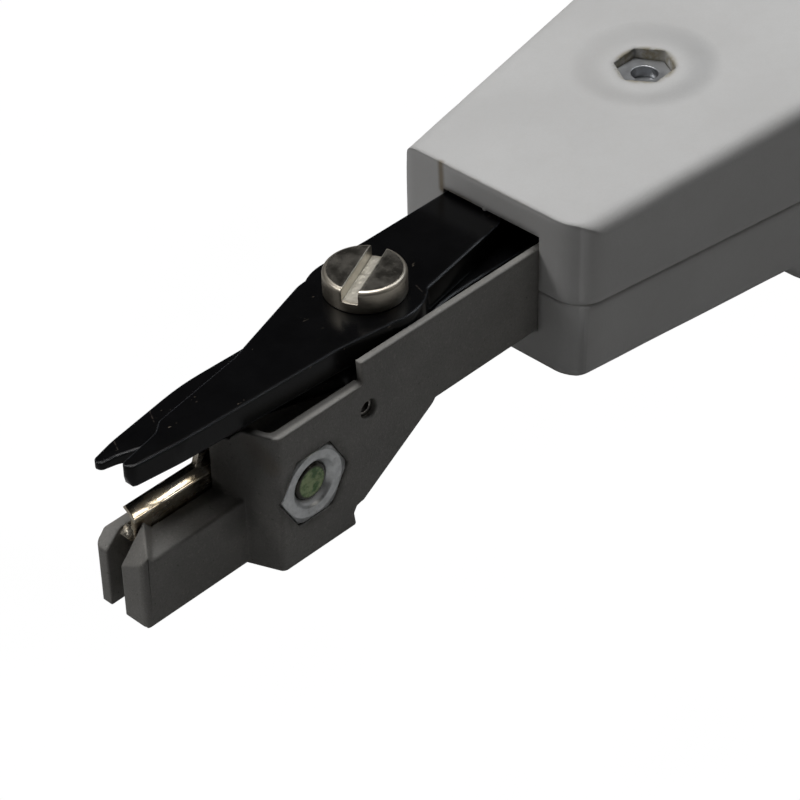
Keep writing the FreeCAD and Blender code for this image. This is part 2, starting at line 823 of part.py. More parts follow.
def strip_profile():
    """The strip's bent upper edge: a rolled, sloping lip, a fold and a flange that goes down into the slot."""
    half = 0.2
    crown = 0.13
    edge = V(0, -1.0, -6.32)
    fold = V(0, -0.17, -7.08)
    along = (fold - edge).normalize()
    out = V(0, -along.z, along.y)
    middle = (edge + fold) / 2 + out * crown
    lip = []
    for point, side, radius in (
        (edge, 1, 0), (middle, 1, 2.4), (fold, 1, 0), (fold, -1, 0), (middle, -1, 2.0), (edge, -1, 0)
    ):
        place = point + out * (half * side)
        lip.append((place.y, place.z, radius))
    flange = box(strip_rear, strip_front, -0.22 - half, -0.22 + half, -9.2, fold.z)
    return fuse([prism_x(lip, strip_rear, strip_front), rod(half, *fold_ends(fold)), flange])


def fold_ends(fold):
    """Ends of the line along which the strip is folded."""
    return (strip_rear, fold.y, fold.z), (strip_front, fold.y, fold.z)


def sensor_strip():
    far = web_far - 0.5
    near = web_far - 0.05
    plate = [
        (8.8, -4.6),
        (15.6, -4.6, 0.6),
        (16.3, -6.6, 0.8),
        (21.9, -9.0, 0.3),
        (21.9, -13.4, 0.6),
        (18.3, -13.4, 0.6),
        (18.3, -11.0),
        (7.35, -11.0, 0.6),
        (7.35, -6.6),
        (8.8, -6.6),
    ]
    slot_reach = shoulder_radius + 0.1
    slot = [
        (cross_x - slot_reach, cross_z - 2.05, 2),
        (cross_x + slot_reach + sensor_travel, cross_z - 2.05, 2),
        (cross_x + slot_reach + sensor_travel, cross_z + 2.05, 2),
        (cross_x - slot_reach, cross_z + 2.05, 2),
    ]
    joggle = box(strip_rear, 21.5, far, near + 0.4, -9.3, -9.0)
    lip_side = [(21.5, -8.5), (22.25, -7.9), (22.8, -8.45), (22.6, -8.75), (21.5, -9.3)]
    lip = prism_y(lip_side, far - 0.15, -0.2)
    strip = prism_y(plate, far, near)
    strip = strip.cut(prism_y(slot, far - 1, near + 1))
    return strip.multiFuse([strip_profile(), joggle, lip]).removeSplitter()


def nose_screw():
    head = rod(2.6, (cross_x, -2.85, cross_z), (cross_x, -1.05, cross_z))
    shoulder = rod(shoulder_radius, (cross_x, -1.05, cross_z), (cross_x, web_far - 0.01, cross_z))
    shank = rod(m3_radius - 0.02, (cross_x, web_far - 0.01, cross_z), (cross_x, shank_near - 0.75, cross_z))
    slot = box(cross_x - 4, cross_x + 4, -4, -2.1, cross_z - 0.4, cross_z + 0.4)
    rim = [e for e in head.Edges if e.BoundBox.YMax < -2.8]
    return head.makeFillet(0.4, rim).fuse(shoulder).fuse(shank).cut(slot).removeSplitter()


def nose_nut():
    nut = hex_prism_y(cross_x, cross_z, m3_nut_flats, shank_near - m3_nut_thickness - 0.05, shank_near - 0.05)
    rounding = Part.makeCone(
        3.75, 2.95, 0.8, V(cross_x, shank_near - 0.85, cross_z), Y_AXIS
    ).fuse(rod(3.75, (cross_x, 0, cross_z), (cross_x, shank_near - 0.85, cross_z)))
    bore = rod(m3_radius, (cross_x, 0, cross_z), (cross_x, 6, cross_z))
    mouth = Part.makeCone(m3_radius, m3_radius + 0.45, 0.45, V(cross_x, shank_near - 0.5, cross_z), Y_AXIS)
    return nut.common(rounding).cut(bore.fuse(mouth))


def screw_seal():
    disc = rod(m3_radius - 0.06, (cross_x, shank_near - 0.74, cross_z), (cross_x, shank_near - 0.3, cross_z))
    rim = [e for e in disc.Edges if e.BoundBox.YMin > shank_near - 0.35]
    return disc.makeFillet(0.3, rim)


def roll_pin():
    pin = rod(pin_radius, (pin_x, shank_far + 0.2, pin_z), (pin_x, shank_near - 0.45, pin_z))
    pin = pin.cut(rod(pin_radius - 0.3, (pin_x, -9, pin_z), (pin_x, 9, pin_z)))
    return pin.cut(box(pin_x - 0.12, pin_x + 0.12, -9, 9, pin_z + 0.2, pin_z + 2))


def sensor_spring():
    return coil(0.85, 0.3, pin_x + pin_radius + 0.04, 8.74, 5, -0.75, -5.35)


def guide_rod():
    bar = along_rod(rod_radius, rod_rear, rod_front - 0.1)
    ends = [e for e in bar.Edges if e.BoundBox.XLength < 1e-6]
    bar = bar.makeChamfer(0.4, ends)
    groove = along_rod(rod_radius + 1, groove_rear, groove_front)
    return bar.cut(groove.cut(along_rod(groove_radius, groove_rear - 1, groove_front + 1)))


def rod_clip():
    disc = along_rod(3.9, groove_rear + 0.05, groove_front - 0.05)
    throat = along_rod(groove_radius + 0.05, groove_rear, groove_front)
    gap = box(groove_rear, groove_front, handle_axis_y - 1.4, handle_axis_y + 1.4, rod_z - 6, rod_z)
    return disc.cut(throat.fuse(gap))


def main_spring():
    return coil(
        main_spring_radius,
        main_spring_wire,
        seat_front + 0.03,
        tail_rear - 0.03,
        main_spring_turns,
        handle_axis_y,
        rod_z,
    )


# ------------------------------------------------------------------ writing
def export(shape, name):
    shape = shape.copy()
    shape.translate(V(pivot_x, pivot_y, pivot_height))
    if not shape.isValid():
        print("not valid:", name)
    print(name, len(shape.Solids), "solid(s), volume", round(shape.Volume, 1))
    solids = shape.Solids
    shape = solids[0] if len(solids) == 1 else Part.makeCompound(solids)
    shape.exportStep("parts/" + name + ".step")


def main():
    os.makedirs("parts", exist_ok=True)
    outside = handle_outside()
    cavity = handle_cavity()
    export(upper_shell(outside, cavity), "upper_shell")
    export(lower_shell(outside, cavity), "lower_shell")
    makers = [
        shell_screws,
        shell_nuts,
        spring_seat,
        wire_hook,
        release_blade,
        tool_pins,
        tool_springs,
        upper_blade,
        lower_blade,
        pivot_screw,
        pivot_nut,
        thrust_washer,
        scissor_spring,
        head_body,
        sensor_strip,
        sensor_spring,
        nose_screw,
        nose_nut,
        screw_seal,
        roll_pin,
        guide_rod,
        rod_clip,
        main_spring,
    ]
    for make in makers:
        export(make(), make.__name__)


main()
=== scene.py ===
import json
import math

import bmesh
import bpy
from mathutils import Matrix, Vector
from mathutils.bvhtree import BVHTree


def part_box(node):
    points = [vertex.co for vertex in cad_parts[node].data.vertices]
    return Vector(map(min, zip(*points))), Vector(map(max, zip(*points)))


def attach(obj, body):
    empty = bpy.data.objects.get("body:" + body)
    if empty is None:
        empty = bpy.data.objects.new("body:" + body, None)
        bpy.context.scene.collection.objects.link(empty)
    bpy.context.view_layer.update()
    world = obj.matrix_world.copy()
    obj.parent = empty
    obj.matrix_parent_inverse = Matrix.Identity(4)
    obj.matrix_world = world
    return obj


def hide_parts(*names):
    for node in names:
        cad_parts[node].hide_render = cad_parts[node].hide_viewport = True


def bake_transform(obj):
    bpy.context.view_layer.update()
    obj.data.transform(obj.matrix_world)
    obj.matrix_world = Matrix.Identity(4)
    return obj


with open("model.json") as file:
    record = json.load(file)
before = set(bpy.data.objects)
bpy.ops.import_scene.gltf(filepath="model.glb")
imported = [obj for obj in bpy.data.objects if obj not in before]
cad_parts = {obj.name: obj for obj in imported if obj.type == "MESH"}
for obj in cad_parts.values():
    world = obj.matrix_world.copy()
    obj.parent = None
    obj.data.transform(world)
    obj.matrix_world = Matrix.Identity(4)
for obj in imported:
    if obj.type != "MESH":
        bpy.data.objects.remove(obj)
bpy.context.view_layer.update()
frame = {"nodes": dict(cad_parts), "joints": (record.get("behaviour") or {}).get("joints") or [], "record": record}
MM = 0.001


# ------------------------------------------------------------------ places, worked out from the frame
def joint_place(name):
    joint = next(j for j in frame["joints"] if j["name"] == name)
    return Vector(joint["pos_m"])


blade_low, blade_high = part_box("upper_blade")
swing = joint_place("upper_scissor_swing")
PIVOT = Vector((swing.x, swing.y, blade_high.z))


def at(x, y, z):
    """A point given in millimetres from the pivot, level with the top of the upper blade."""
    return PIVOT + Vector((x, y, z)) * MM


def middle(node):
    low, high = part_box(node)
    return (low + high) / 2


# ------------------------------------------------------------------ node materials
class Shader:
    """A small helper that adds and links shader nodes."""

    def __init__(self, name):
        self.material = bpy.data.materials.new(name)
        self.material.use_nodes = True
        self.tree = self.material.node_tree
        self.tree.nodes.clear()
        self.place = self.add("ShaderNodeTexCoord").outputs["Object"]

    def add(self, kind, **settings):
        node = self.tree.nodes.new(kind)
        for key, value in settings.items():
            setattr(node, key, value)
        return node

    def put(self, value, socket):
        if isinstance(value, bpy.types.NodeSocket):
            self.tree.links.new(value, socket)
        elif isinstance(value, (tuple, list)) and len(value) == 3 and socket.type == "RGBA":
            socket.default_value = (*value, 1.0)
        else:
            socket.default_value = value

    def math(self, kind, a, b=0.0, clamp=False):
        node = self.add("ShaderNodeMath", operation=kind, use_clamp=clamp)
        self.put(a, node.inputs[0])
        self.put(b, node.inputs[1])
        return node.outputs[0]

    def vector(self, kind, a, b=None, scale=None):
        node = self.add("ShaderNodeVectorMath", operation=kind)
        self.put(a, node.inputs[0])
        if b is not None:
            self.put(b, node.inputs[1])
        if scale is not None:
            self.put(scale, node.inputs["Scale"])
        gives_number = kind in ("DOT_PRODUCT", "DISTANCE", "LENGTH")
        return node.outputs["Value" if gives_number else "Vector"]

    def axis(self, name):
        """One coordinate of the shaded point."""
        direction = {"x": (1, 0, 0), "y": (0, 1, 0), "z": (0, 0, 1)}[name]
        return self.vector("DOT_PRODUCT", self.place, direction)

    def noise(self, scale, detail=3.0, rough=0.55, stretch=None):
        source = self.stretched(self.place, stretch) if stretch else self.place
        node = self.add("ShaderNodeTexNoise")
        self.put(source, node.inputs["Vector"])
        node.inputs["Scale"].default_value = scale
        node.inputs["Detail"].default_value = detail
        node.inputs["Roughness"].default_value = rough
        return node.outputs["Fac"]

    def stretched(self, source, factors):
        node = self.add("ShaderNodeMapping")
        self.put(source, node.inputs["Vector"])
        node.inputs["Scale"].default_value = factors
        return node.outputs["Vector"]

    def ramp(self, value, low, high, smooth=True):
        """0 below low, 1 above high; low may be the larger one."""
        node = self.add("ShaderNodeMapRange", clamp=True)
        if smooth:
            node.interpolation_type = "SMOOTHSTEP"
        self.put(value, node.inputs["Value"])
        ends = (low, high) if low < high else (high, low)
        node.inputs["From Min"].default_value = ends[0]
        node.inputs["From Max"].default_value = ends[1]
        if low > high:
            node.inputs["To Min"].default_value = 1.0
            node.inputs["To Max"].default_value = 0.0
        return node.outputs["Result"]

    def times(self, *values):
        total = values[0]
        for value in values[1:]:
            total = self.math("MULTIPLY", total, value)
        return total

    def most(self, *values):
        total = values[0]
        for value in values[1:]:
            total = self.math("MAXIMUM", total, value)
        return total

    def mix(self, share, a, b):
        node = self.add("ShaderNodeMix", data_type="RGBA")
        self.put(share, node.inputs["Factor"])
        self.put(a, node.inputs["A"])
        self.put(b, node.inputs["B"])
        return node.outputs["Result"]

    def blend(self, share, a, b):
        node = self.add("ShaderNodeMix", data_type="FLOAT")
        self.put(share, node.inputs["Factor"])
        self.put(a, node.inputs["A"])
        self.put(b, node.inputs["B"])
        return node.outputs["Result"]

    def bump(self, height, distance, strength=1.0, under=None):
        node = self.add("ShaderNodeBump")
        self.put(height, node.inputs["Height"])
        self.put(distance, node.inputs["Distance"])
        self.put(strength, node.inputs["Strength"])
        if under is not None:
            self.put(under, node.inputs["Normal"])
        return node.outputs["Normal"]

    def rounded(self, radius):
        """A normal that turns gently over every edge, as if the edge had the given radius."""
        bevel = self.add("ShaderNodeBevel", samples=6)
        bevel.inputs["Radius"].default_value = radius
        return bevel.outputs["Normal"]

    def edges(self, radius, low=0.03, high=0.25):
        """1 on sharp outer and inner edges, 0 on flats."""
        bevel = self.add("ShaderNodeBevel", samples=4)
        bevel.inputs["Radius"].default_value = radius
        plain = self.add("ShaderNodeNewGeometry").outputs["Normal"]
        dot = self.vector("DOT_PRODUCT", bevel.outputs["Normal"], plain)
        return self.ramp(self.math("SUBTRACT", 1.0, dot), low, high)

    def near(self, point, radius, soft):
        """1 inside a ball round a point, fading to 0 over the soft distance."""
        return self.ramp(self.vector("DISTANCE", self.place, tuple(point)), radius + soft, radius)

    def stroke(self, start, end, radius, soft):
        """1 within a radius of the line between two points, fading to 0 over the soft distance."""
        line = end - start
        lead = self.vector("SUBTRACT", self.place, tuple(start))
        along = self.vector("DOT_PRODUCT", lead, tuple(line))
        share = self.math("DIVIDE", along, line.length_squared, True)
        foot = self.vector("SCALE", tuple(line), scale=share)
        return self.ramp(self.vector("DISTANCE", lead, foot), radius + soft, radius)

    def out_from(self, point, axis):
        """Distance from the line through a point along an axis, x, y or z."""
        flat = {"x": (0, 1, 1), "y": (1, 0, 1), "z": (1, 1, 0)}[axis]
        lead = self.vector("SUBTRACT", self.place, tuple(point))
        return self.vector("LENGTH", self.vector("MULTIPLY", lead, flat))

    def shade(self, color, roughness, metallic=0.0, normal=None, **more):
        shade = self.add("ShaderNodeBsdfPrincipled")
        self.put(color, shade.inputs["Base Color"])
        self.put(roughness, shade.inputs["Roughness"])
        self.put(metallic, shade.inputs["Metallic"])
        if normal is not None:
            self.put(normal, shade.inputs["Normal"])
        for key, value in more.items():
            self.put(value, shade.inputs[key.replace("_", " ")])
        return shade.outputs[0]

    def finish(self, *args, **more):
        out = self.add("ShaderNodeOutputMaterial")
        self.tree.links.new(self.shade(*args, **more), out.inputs["Surface"])
        return self.material


# x and y of the five nuts let into the top of the handle, in millimetres from the pivot
NUT_PLACES = [(-30.7, -0.6), (-56.0, 9.5), (-56.0, -8.5), (-124.0, 7.5), (-124.0, -6.5)]


def handle_plastic():
    """Pale grey moulded plastic with a fine spark-eroded grain, a swelling round each nut and old grime."""
    s = Shader("handle_plastic")
    cloud = s.noise(90, 2)
    mottle = s.noise(900, 2, 0.6)
    grain = s.noise(5200, 2, 0.7)
    tone = s.mix(s.ramp(cloud, 0.3, 0.7), (0.500, 0.494, 0.486), (0.535, 0.530, 0.522))
    tone = s.mix(s.times(s.ramp(grain, 0.35, 0.65), 0.10), tone, (0.42, 0.415, 0.405))
    tone = s.mix(s.times(s.ramp(mottle, 0.4, 0.7), 0.10), tone, (0.44, 0.43, 0.41))
    forward = s.ramp(s.axis("x"), at(-22, 0, 0).x, at(-12.5, 0, 0).x)
    front_edges = s.times(s.edges(0.0007, 0.04, 0.4), forward)
    grime = s.times(front_edges, s.ramp(s.noise(420, 3), 0.45, 0.70), 0.30)
    tone = s.mix(grime, tone, (0.30, 0.235, 0.155))
    upright = s.stroke(at(-12.45, -4.45, 2.3), at(-12.45, -4.35, 0.2), 0.00005, 0.0004)
    lintel = s.stroke(at(-12.45, -4.3, 0.35), at(-12.45, -1.5, 0.35), 0.00002, 0.00025)
    tone = s.mix(s.times(s.most(upright, s.times(lintel, 0.5)), 0.75), tone, (0.20, 0.145, 0.075))
    swell = None
    rims = None
    for x, y in NUT_PLACES:
        out = s.out_from(at(x, y, 0), "z")
        hump = s.times(s.ramp(out, 0.0059, 0.0027), s.ramp(s.axis("z"), at(0, 0, 1).z, at(0, 0, 2).z))
        rim = s.times(s.ramp(out, 0.0026, 0.0020), s.ramp(s.axis("z"), at(0, 0, 1.0).z, at(0, 0, 3.2).z))
        swell = hump if swell is None else s.most(swell, hump)
        rims = rim if rims is None else s.most(rims, rim)
    tone = s.mix(s.times(rims, s.ramp(s.noise(1300, 3), 0.25, 0.6), 0.8), tone, (0.22, 0.18, 0.09))
    pits = s.bump(grain, 0.00002, 0.55, s.rounded(0.0009))
    waves = s.bump(s.noise(300, 2), 0.00006, 0.25, pits)
    humps = s.bump(swell, 0.0011, 1.0, waves)
    beside = s.math("SUBTRACT", s.axis("y"), at(0, 1.5, 0).y)
    ahead = s.vector("DOT_PRODUCT", s.add("ShaderNodeNewGeometry").outputs["True Normal"], (1, 0, 0))
    front = s.times(s.ramp(ahead, 0.5, 0.9), s.ramp(s.axis("x"), at(-14, 0, 0).x, at(-13, 0, 0).x))
    crown = s.times(s.times(beside, beside), s.times(front, -24.0))
    crowned = s.bump(crown, 1.0, 1.0, humps)
    return s.finish(tone, s.blend(cloud, 0.5, 0.6), normal=crowned, Specular_IOR_Level=0.35)


def head_plastic():
    """Dark warm grey glass-filled plastic: fine drag marks, specks, edges paler from rub wear and a painted
    highlight, painted shade on the block and round the nut.
    """
    s = Shader("head_plastic")
    cloud = s.noise(220, 3)
    grain = s.noise(6500, 2, 0.7)
    tone = s.mix(s.ramp(cloud, 0.3, 0.7), (0.185, 0.178, 0.166), (0.225, 0.217, 0.203))
    tone = s.mix(s.times(s.ramp(grain, 0.4, 0.7), 0.35), tone, (0.12, 0.115, 0.105))
    salt = s.ramp(s.noise(4300, 2, 0.8), 0.58, 0.72)
    tone = s.mix(s.times(salt, 0.28), tone, (0.40, 0.38, 0.34))
    # edges paler: partly rub wear, partly a painted highlight
    rubbed = s.times(s.edges(0.00025, 0.05, 0.35), s.ramp(s.noise(700, 2), 0.3, 0.6), 0.55)
    tone = s.mix(rubbed, tone, (0.36, 0.335, 0.29))
    corner = s.stroke(at(13.9, 3.0, -3.6), at(14.2, 4.6, -5.2), 0.0003, 0.0009)
    tone = s.mix(s.times(corner, 0.35), tone, (0.16, 0.115, 0.075))
    specks = s.ramp(s.noise(3100, 1), 0.72, 0.76)
    tone = s.mix(s.times(specks, 0.5), tone, (0.05, 0.045, 0.04))
    # a darker, noise-broken patch on the block's front where the nose joins it
    nose_root_dark = s.near(at(14.1, 0.6, -8.8), 0.0003, 0.0016)
    tone = s.mix(s.times(nose_root_dark, s.ramp(s.noise(1500, 3), 0.3, 0.6), 0.75), tone, (0.03, 0.025, 0.02))
    # painted shade: a dark ring in the gap round the nut and just outside it
    out = s.out_from(middle("nose_nut"), "y")
    nut_gap_shade = s.times(s.ramp(out, 0.0037, 0.0029), s.ramp(s.axis("y"), at(0, 4.7, 0).y, at(0, 4.9, 0).y))
    tone = s.mix(s.times(nut_gap_shade, s.ramp(s.noise(1100, 3), 0.25, 0.6), 0.6), tone, (0.055, 0.052, 0.045))
    # painted shadow of the blades on the block's front face
    blade_shadow = s.stroke(at(14.6, 2.2, -4.2), at(14.9, 1.2, -9.5), 0.0011, 0.0018)
    tone = s.mix(s.times(blade_shadow, 0.6), tone, (0.045, 0.042, 0.038))
    # painted shade on the inner part of the block's wall top, which narrows its lit band
    above = s.ramp(s.axis("z"), at(0, 0, -2.85).z, at(0, 0, -2.70).z)
    below = s.ramp(s.axis("z"), at(0, 0, -2.3).z, at(0, 0, -2.5).z)
    inner = s.ramp(s.axis("y"), at(0, 4.75, 0).y, at(0, 4.45, 0).y)
    tone = s.mix(s.times(above, below, inner, 0.75), tone, (0.03, 0.028, 0.025))
    pits = s.bump(grain, 0.00003, 0.6, s.rounded(0.0003))
    drag = s.bump(s.noise(1500, 2, stretch=(0.12, 1, 1)), 0.00002, 0.3, pits)
    return s.finish(tone, s.blend(cloud, 0.42, 0.55), normal=drag, Specular_IOR_Level=0.45)


def black_oxide():
    """Blackened steel: a satin coat with a painted highlight along the edges and a few bright nicks."""
    s = Shader("black_oxide")
    cloud = s.noise(500, 3)
    tone = s.mix(cloud, (0.0008, 0.0008, 0.001), (0.0022, 0.0022, 0.0026))
    # painted highlight: the edges are tinted a pale bluish grey
    edge = s.edges(0.0002, 0.03, 0.3)
    tone = s.mix(s.times(edge, 0.75), tone, (0.065, 0.072, 0.088))
    spot = s.ramp(s.noise(3600, 1, stretch=(0.5, 1, 1)), 0.72, 0.75)
    nick = s.times(spot, s.ramp(s.noise(700, 2), 0.56, 0.66))
    tone = s.mix(s.times(nick, 0.35), tone, (0.20, 0.17, 0.13))
    rubbed = s.stroke(at(-2.3, 3.6, 0), at(-2.7, 2.3, 0), 0.00001, 0.00006)
    ticks = [((21.2, -2.9, -2), (21.9, -1.5, -2)), ((17.6, -3.2, -2), (18.3, -1.9, -2))]
    for start, end in ticks:
        rubbed = s.most(rubbed, s.stroke(at(*start), at(*end), 0.00001, 0.00006))
    tone = s.mix(s.times(rubbed, s.ramp(s.noise(2000, 2), 0.35, 0.6), 0.16), tone, (0.20, 0.17, 0.14))
    worn_tip = s.near(at(24.0, 1.75, -1.75), 0.0003, 0.00025)
    tone = s.mix(s.times(worn_tip, s.ramp(s.noise(2500, 2), 0.4, 0.55), 0.8), tone, (0.34, 0.33, 0.31))
    grain = s.bump(s.noise(9000, 2), 0.000006, 0.5, s.rounded(0.00035))
    gloss = s.blend(s.edges(0.0003, 0.03, 0.2), 0.24, 0.62)
    return s.finish(tone, s.blend(cloud, 0.17, 0.25), 0.0, grain, Specular_IOR_Level=gloss)


def nickel():
    """Old nickel plate with a warm cast, soft dull patches and fine ripples."""
    s = Shader("nickel")
    cloud = s.noise(700, 3, 0.6)
    tone = s.mix(s.ramp(cloud, 0.3, 0.7), (0.50, 0.455, 0.38), (0.70, 0.65, 0.56))
    dull = s.ramp(s.noise(1500, 3, 0.6), 0.42, 0.68)
    tone = s.mix(s.times(dull, 0.30), tone, (0.24, 0.205, 0.155))
    ripple = s.bump(s.noise(1300, 3), 0.00002, 0.4)
    return s.finish(tone, s.blend(dull, 0.16, 0.30), 1.0, ripple)


def nut_nickel():
    """The nut in the side of the nose: a chamfer round its corners and a painted glint in the countersunk bore."""
    s = Shader("nut_nickel")
    centre = middle("nose_nut")
    out = s.out_from(centre, "y")
    cloud = s.noise(1500, 3, 0.6)
    tone = s.mix(s.ramp(cloud, 0.3, 0.7), (0.60, 0.61, 0.61), (0.80, 0.81, 0.81))
    dark = s.ramp(s.noise(2600, 2), 0.60, 0.75)
    tone = s.mix(s.times(dark, 0.3), tone, (0.25, 0.24, 0.22))
    # painted glint: a white, non-metal crescent low in the bore's chamfer
    ring = s.times(s.ramp(out, 0.00125, 0.0014), s.ramp(out, 0.00185, 0.0017))
    bore_foot = Vector((centre.x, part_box("nose_nut")[1].y, centre.z - 0.00155))
    bore_glint = s.times(ring, s.near(bore_foot, 0.0007, 0.0008))
    tone = s.mix(bore_glint, tone, (1.0, 1.0, 1.0))
    fall = s.most(s.math("SUBTRACT", out, 0.00262), 0.0)
    chamfer = s.bump(s.times(fall, -0.7), 1.0, 1.0, s.rounded(0.00012))
    scratch = s.bump(cloud, 0.00002, 0.35, chamfer)
    return s.finish(tone, 0.36, s.blend(bore_glint, 0.75, 0.0), scratch)


def pivot_nickel():
    """The scissor screw: a tarnished mirror on top, a rougher side toned paler with the rim, partly as a painted
    highlight, and a driver slot worn pale.
    """
    s = Shader("pivot_nickel")
    cloud = s.noise(800, 3, 0.6)
    tone = s.mix(s.ramp(cloud, 0.35, 0.65), (0.20, 0.185, 0.16), (0.44, 0.41, 0.36))
    specks = s.ramp(s.noise(2600, 2), 0.60, 0.68)
    tone = s.mix(s.times(specks, 0.35), tone, (0.75, 0.70, 0.60))
    turn = math.radians(23)
    lead = s.vector("SUBTRACT", s.place, tuple(PIVOT))
    across = s.math("ABSOLUTE", s.vector("DOT_PRODUCT", lead, (-math.sin(turn), math.cos(turn), 0)))
    high = s.ramp(s.axis("z"), at(0, 0, 0.7).z, at(0, 0, 0.8).z)
    slot = s.times(s.ramp(across, 0.00072, 0.00060), high)
    lip = s.times(s.ramp(across, 0.00095, 0.00066), high, s.ramp(s.noise(1900, 2), 0.35, 0.6))
    tone = s.mix(s.times(s.most(slot, lip), 0.85), tone, (0.66, 0.62, 0.54))
    # rim and side toned paler than the top: partly their rougher finish, partly a painted highlight on the rim
    side = s.ramp(s.out_from(PIVOT, "z"), 0.00262, 0.00278)
    tone = s.mix(side, tone, (0.56, 0.51, 0.43))
    rough = s.blend(s.most(side, slot), s.blend(cloud, 0.20, 0.30), 0.42)
    chewed = s.bump(s.noise(2200, 3), 0.00005, s.blend(slot, 0.15, 0.9))
    return s.finish(tone, rough, 1.0, chewed)


def strip_nickel():
    """The contact strip: old nickel, streaked along its length."""
    s = Shader("strip_nickel")
    cloud = s.noise(900, 4, 0.65)
    streak = s.noise(1400, 3, 0.6, stretch=(0.35, 1, 1))
    tone = s.mix(s.ramp(cloud, 0.35, 0.65), (0.60, 0.52, 0.39), (0.84, 0.79, 0.69))
    dull = s.ramp(streak, 0.45, 0.65)
    tone = s.mix(s.times(dull, 0.55), tone, (0.22, 0.165, 0.10))
    ripple = s.bump(s.noise(1500, 3), 0.00002, 0.35)
    return s.finish(tone, s.blend(dull, 0.14, 0.34), 1.0, ripple)


def zinc():
    s = Shader("zinc")
    cloud = s.noise(1500, 3)
    tone = s.mix(cloud, (0.42, 0.43, 0.45), (0.60, 0.61, 0.62))
    brushed = s.bump(s.noise(3500, 2, stretch=(1, 0.2, 1)), 0.00001, 0.5)
    return s.finish(tone, s.blend(cloud, 0.30, 0.45), 1.0, brushed)


def steel(name, low, high, rough):
    s = Shader(name)
    cloud = s.noise(1200, 3)
    drawn = s.bump(s.noise(4200, 2, stretch=(0.05, 1, 1)), 0.00001, 0.6)
    return s.finish(s.mix(cloud, low, high), s.blend(cloud, rough, rough + 0.12), 1.0, drawn)


def thread_lock():
    """Dried green and yellow lacquer in the nut's bore; the screw's end shows round it."""
    s = Shader("thread_lock")
    cloud = s.noise(1800, 3)
    tone = s.mix(s.ramp(cloud, 0.35, 0.65), (0.07, 0.18, 0.03), (0.42, 0.54, 0.24))
    rim = s.ramp(s.out_from(middle("screw_seal"), "y"), 0.00105, 0.00125)
    tone = s.mix(rim, tone, (0.05, 0.045, 0.035))
    lump = s.bump(cloud, 0.0001, 0.6)
    return s.finish(tone, 0.25, s.times(rim, 0.7), lump, Coat_Weight=0.3)


def white_plastic():
    s = Shader("white_plastic")
    cloud = s.noise(300, 2)
    tone = s.mix(cloud, (0.72, 0.71, 0.67), (0.80, 0.79, 0.75))
    return s.finish(tone, 0.42, normal=s.bump(s.noise(4000, 2), 0.00001, 0.5))


MATERIALS = {
    "handle_plastic": handle_plastic(),
    "head_plastic": head_plastic(),
    "black_steel": black_oxide(),
    "nickel": nickel(),
    "zinc": zinc(),
    "spring_steel": steel("spring_steel", (0.42, 0.40, 0.37), (0.55, 0.53, 0.50), 0.25),
    "tool_steel": steel("tool_steel", (0.50, 0.50, 0.49), (0.62, 0.62, 0.61), 0.22),
    "thread_lock": thread_lock(),
    "white_plastic": white_plastic(),
}
OWN_MATERIAL = {"pivot_screw": pivot_nickel(), "sensor_strip": strip_nickel(), "nose_nut": nut_nickel()}
SLOT_OF = {entry["node"]: entry["material_slot"] for entry in frame["record"]["subparts"]}
BODY_OF = {node: body for body, nodes in frame["record"]["behaviour"]["bodies"].items() for node in nodes}


def dress(obj, material):
    obj.data.materials.clear()
    obj.data.materials.append(material)


# ------------------------------------------------------------------ pieces with softened edges
# bevel widths in millimetres; the shells keep the CAD's own radii
EDGE_WIDTH = {
    "upper_shell": 0.0,
    "lower_shell": 0.0,
    "head_body": 0.1,
    "pivot_nut": 0.1,
    "pivot_screw": 0.06,
    "sensor_strip": 0.05,
    "spring_seat": 0.2,
}
PLAIN_EDGE = 0.06
MERGE_GAP = 1.5e-6
FLAT_ANGLE = math.radians(0.05)
BEVEL_ANGLE = math.radians(25)
SMOOTH_ANGLE = math.radians(38)
STRAY_SHARE = 0.6
BEVEL_SEGMENTS = 3


def softened_mesh(node, width):
    """A copy of a CAD node's mesh with its triangles merged into faces and its sharp edges bevelled.

    A width of 0 keeps the mesh as it is. Corners that the bevel throws off the surface are put back on it.
    """
    if not width:
        return frame["nodes"][node].data.copy()
    work = bmesh.new()
    work.from_mesh(frame["nodes"][node].data)
    bmesh.ops.remove_doubles(work, verts=work.verts, dist=MERGE_GAP)
    bmesh.ops.dissolve_limit(work, angle_limit=FLAT_ANGLE, verts=work.verts[:], edges=work.edges[:])
    surface = BVHTree.FromBMesh(work)
    sharp = [e for e in work.edges if e.is_manifold and e.calc_face_angle(0.0) > BEVEL_ANGLE]
    sharp = [e for e in sharp if e.calc_length() > STRAY_SHARE * width * MM]
    bmesh.ops.bevel(
        work,
        geom=sharp,
        offset=width * MM,
        offset_type="OFFSET",
        segments=BEVEL_SEGMENTS,
        profile=0.5,
        affect="EDGES",
    )
    for corner in work.verts:
        nearest, _, _, gap = surface.find_nearest(corner.co)
        if gap > STRAY_SHARE * width * MM:
            corner.co = nearest
    for face in work.faces:
        face.smooth = True
    mesh = bpy.data.meshes.new("soft_" + node)
    work.to_mesh(mesh)
    work.free()
    custom = mesh.attributes.get("custom_normal")
    if custom:
        mesh.attributes.remove(custom)
    mesh.set_sharp_from_angle(angle=SMOOTH_ANGLE)
    return mesh


def add_piece(name, mesh, slot, material=None):
    piece = bpy.data.objects.new(name, mesh)
    bpy.context.scene.collection.objects.link(piece)
    dress(piece, material or MATERIALS[slot])
    return piece


def soften(node):
    """A piece with softened edges that stands for a CAD node."""
    mesh = softened_mesh(node, EDGE_WIDTH.get(node, PLAIN_EDGE))
    piece = add_piece("soft_" + node, mesh, SLOT_OF[node], OWN_MATERIAL.get(node))
    weighted = piece.modifiers.new("even shading", "WEIGHTED_NORMAL")
    weighted.keep_sharp = True
    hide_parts(node)
    return piece


